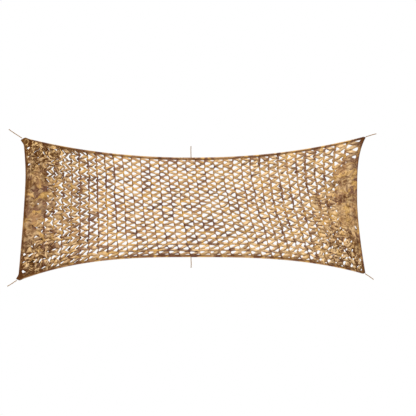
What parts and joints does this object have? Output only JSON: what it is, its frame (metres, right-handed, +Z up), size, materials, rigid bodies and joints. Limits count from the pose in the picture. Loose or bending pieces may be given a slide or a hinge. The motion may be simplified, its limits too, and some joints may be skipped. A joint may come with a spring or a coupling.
{
  "type": "camouflage netting",
  "caption": "Leaf-cut camouflage netting with a truss of triangular openings, a turned hem on four bowed edges and short cord ties at the corners and middles.",
  "frame": {"origin": "under the middle of the net panel's box, on the surface that the hem lies on", "axes": "+X along the length, +Y across the width, +Z up off the surface"},
  "size_m": [5.6273, 2.4017, 0.0414],
  "materials": {
    "camouflage_cloth": "woven polyester printed in desert camouflage, matt, leaf cut",
    "tie_cord": "twisted natural fibre, matt"
  },
  "bodies": {
    "root": {"net_panel": "camouflage_cloth", "tie_top_left": "tie_cord", "tie_top_middle": "tie_cord", "tie_top_right": "tie_cord", "tie_bottom_left": "tie_cord", "tie_bottom_middle": "tie_cord", "tie_bottom_right": "tie_cord"}
  },
  "joints": []
}
